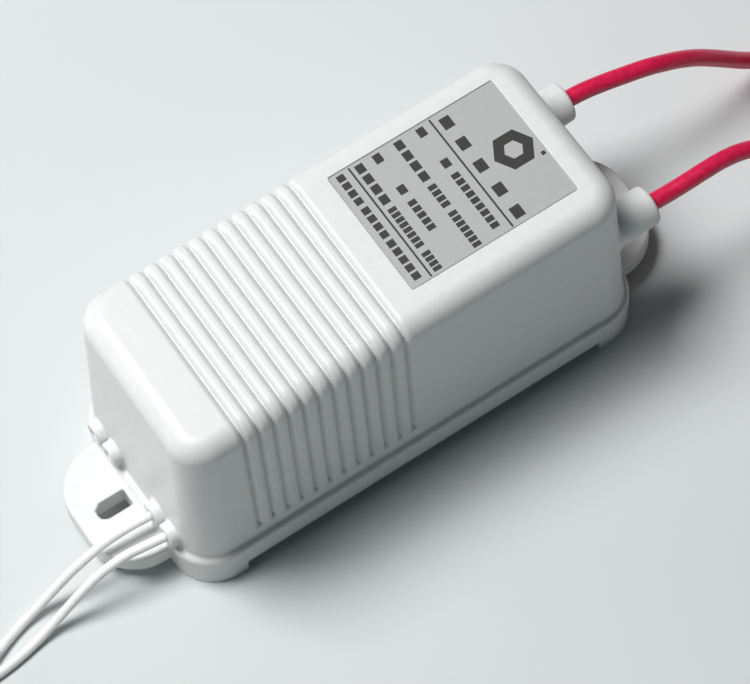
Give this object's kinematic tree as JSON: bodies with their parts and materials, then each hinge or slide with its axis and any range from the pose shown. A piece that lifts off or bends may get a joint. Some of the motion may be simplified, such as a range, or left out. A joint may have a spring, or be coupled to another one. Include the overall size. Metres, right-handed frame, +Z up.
{
  "type": "electronic transformer for neon tube lamps",
  "caption": "Ribbed white moulded power supply box on a skirt with slotted ears, red high-voltage leads at one end and thin white supply leads at the other.",
  "frame": {"origin": "centre of the footprint, on the surface that the feet stand on", "axes": "+X towards the high-voltage end, +Z up from the mounting surface, -Y the long side on the supply leads' side"},
  "size_m": [0.3455, 0.0661, 0.0656],
  "materials": {
    "housing_white": "fine moulded grain, satin",
    "base_grey": "matt moulded",
    "zinc_steel": "zinc plated",
    "label_silver": "printed polyester film, satin",
    "board_green": "solder mask, satin",
    "block_grey": "moulded polyamide",
    "supply_lead_white": "extruded PVC, satin",
    "tinned_copper": "tinned, bright",
    "film_yellow": "moulded case, satin",
    "clear_glass": "clear",
    "nickel": "nickel plated",
    "clip_brass": "bright",
    "ferrite": "sintered, matt",
    "enamelled_copper": "enamelled copper wire",
    "fine_copper": "fine enamelled copper wire, varnished",
    "black_epoxy": "moulded epoxy",
    "package_black": "moulded epoxy on a tinned tab",
    "sleeve_blue": "shrunk sleeve on an aluminium can",
    "aluminium_sheet": "mill finish",
    "film_red": "dipped epoxy, gloss",
    "resistor_tan": "lacquered",
    "bobbin_cream": "glass-filled polyamide",
    "hv_lead_red": "silicone rubber, satin"
  },
  "bodies": {
    "root": {"housing": "housing_white", "base_plate": "base_grey", "base_screws": "zinc_steel", "rating_label": "label_silver", "circuit_board": "board_green", "board_screws": "zinc_steel", "terminal_block": "block_grey", "terminal_screws": "zinc_steel", "mains_lead_tails": "supply_lead_white", "mains_conductors": "tinned_copper", "x_capacitor": "film_yellow", "fuse_glass": "clear_glass", "fuse_caps": "nickel", "fuse_clips": "clip_brass", "choke_core": "ferrite", "choke_windings": "enamelled_copper", "bridge_rectifier": "black_epoxy", "bulk_capacitor": "sleeve_blue", "heat_sink": "aluminium_sheet", "power_transistor_1": "package_black", "power_transistor_2": "package_black", "transistor_screws": "zinc_steel", "transistor_nuts": "zinc_steel", "drive_core": "ferrite", "drive_windings": "enamelled_copper", "film_capacitors": "film_red", "resistors": "resistor_tan", "transformer_core_front": "ferrite", "transformer_core_rear": "ferrite", "bobbin": "bobbin_cream", "primary_winding": "enamelled_copper", "hv_winding": "fine_copper", "core_band": "zinc_steel", "hv_terminal_posts": "tinned_copper", "hv_lead_tails": "hv_lead_red", "hv_conductors": "tinned_copper", "hv_lead_1": "hv_lead_red", "hv_lead_2": "hv_lead_red", "hv_coil_1": "hv_lead_red", "hv_coil_2": "hv_lead_red", "mains_lead_1": "supply_lead_white", "mains_lead_2": "supply_lead_white", "mains_coil_1": "supply_lead_white", "mains_coil_2": "supply_lead_white", "hv_lead_ends": "tinned_copper", "mains_lead_ends": "tinned_copper"}
  },
  "joints": []
}
